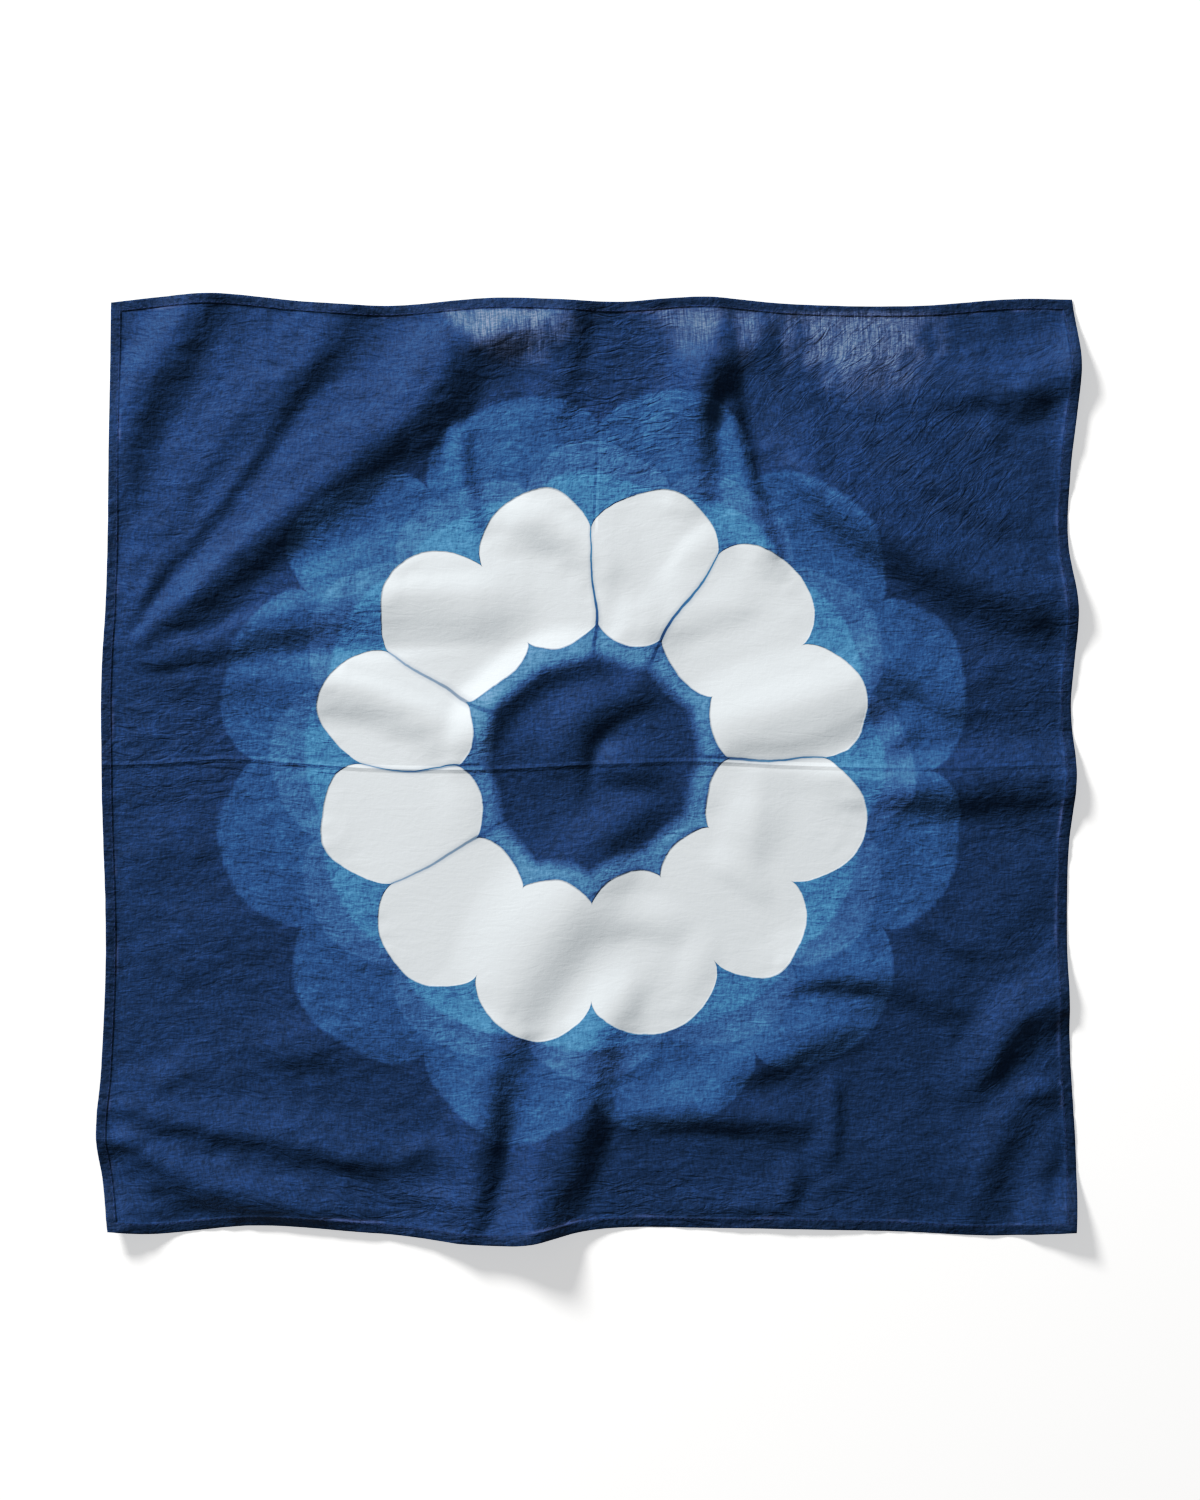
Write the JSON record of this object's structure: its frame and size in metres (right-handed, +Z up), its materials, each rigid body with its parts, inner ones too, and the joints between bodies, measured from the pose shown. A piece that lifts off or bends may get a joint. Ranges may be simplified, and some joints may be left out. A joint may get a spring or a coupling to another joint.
{
  "type": "bandana",
  "caption": "Square cotton bandana, indigo fold-dyed with a pale flower in the middle, laid out face up in soft folds, with a narrow stitched hem.",
  "frame": {"origin": "middle of the underside of the box round the laid-out cloth", "axes": "+X to the right across the cloth and +Y up the cloth as the picture shows it from above, +Z up from the surface it lies on"},
  "size_m": [0.5602, 0.5406, 0.0199],
  "materials": {
    "indigo_cotton": "matt indigo-dyed plain-weave cotton"
  },
  "bodies": {
    "root": {"bandana_cloth": "indigo_cotton"}
  },
  "joints": []
}
